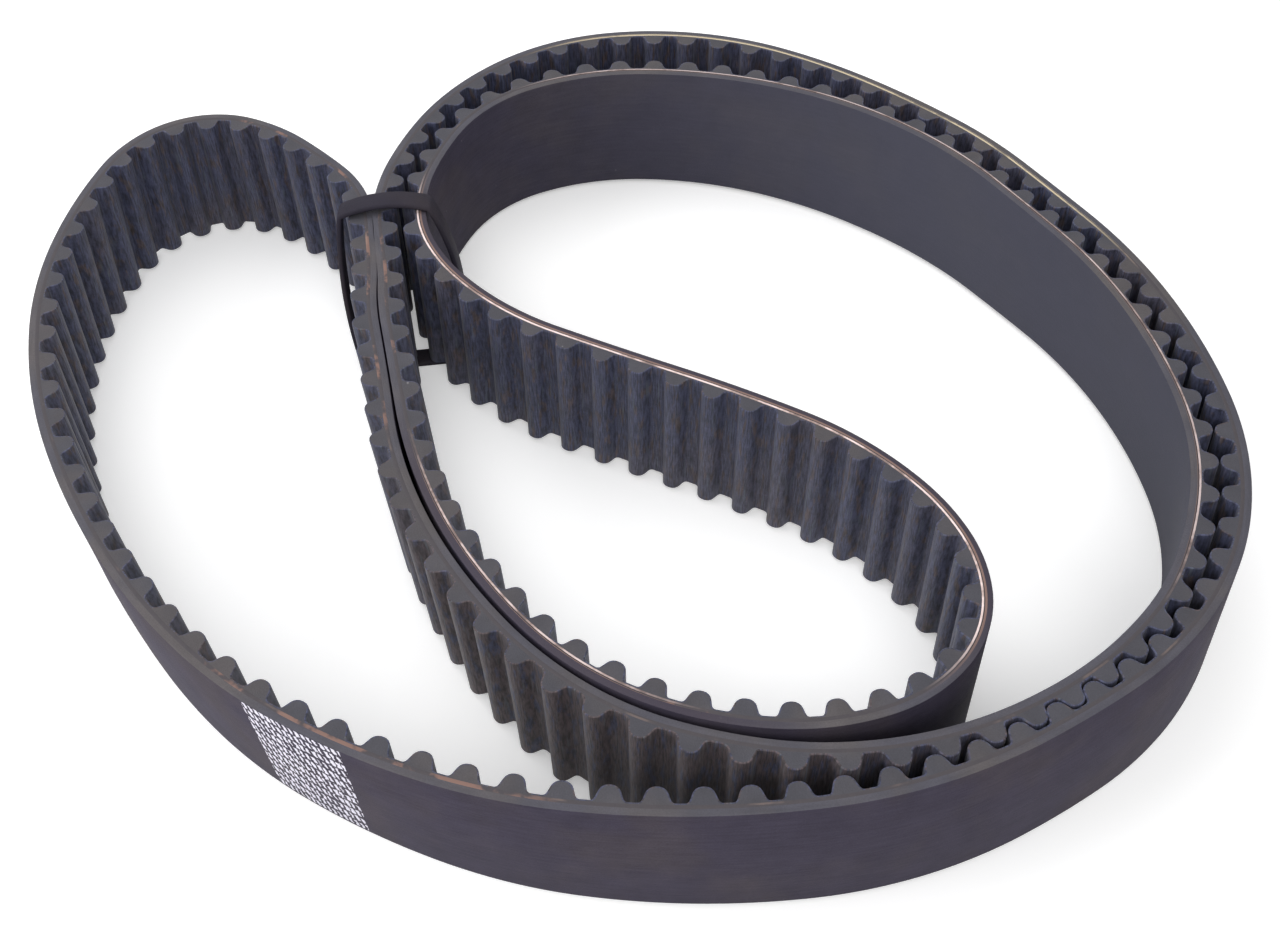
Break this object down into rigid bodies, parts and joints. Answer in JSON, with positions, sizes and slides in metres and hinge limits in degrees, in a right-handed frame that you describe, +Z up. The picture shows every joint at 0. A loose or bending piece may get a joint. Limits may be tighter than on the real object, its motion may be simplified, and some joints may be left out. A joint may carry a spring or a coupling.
{
  "type": "timing belt",
  "caption": "Endless toothed rubber timing belt with a cord ply, coiled on edge into three loops and held by a flat tie strap.",
  "frame": {"origin": "under the middle of the whole part, on the surface that it stands on", "axes": "+Z up, across the belt's width; the belt stands on one cut edge; +X to the right and +Y away, seen from the front"},
  "size_m": [0.241, 0.2112, 0.0354],
  "materials": {
    "back_rubber": "matt ground back",
    "cord": "twisted glass cord in rubber",
    "tooth_rubber": "fabric-faced teeth, cut edges",
    "strap_plastic": "smooth black nylon"
  },
  "bodies": {
    "root": {"back_cover": "back_rubber", "tension_cord_ply": "cord", "toothed_body": "tooth_rubber", "tie_strap": "strap_plastic"}
  },
  "joints": []
}
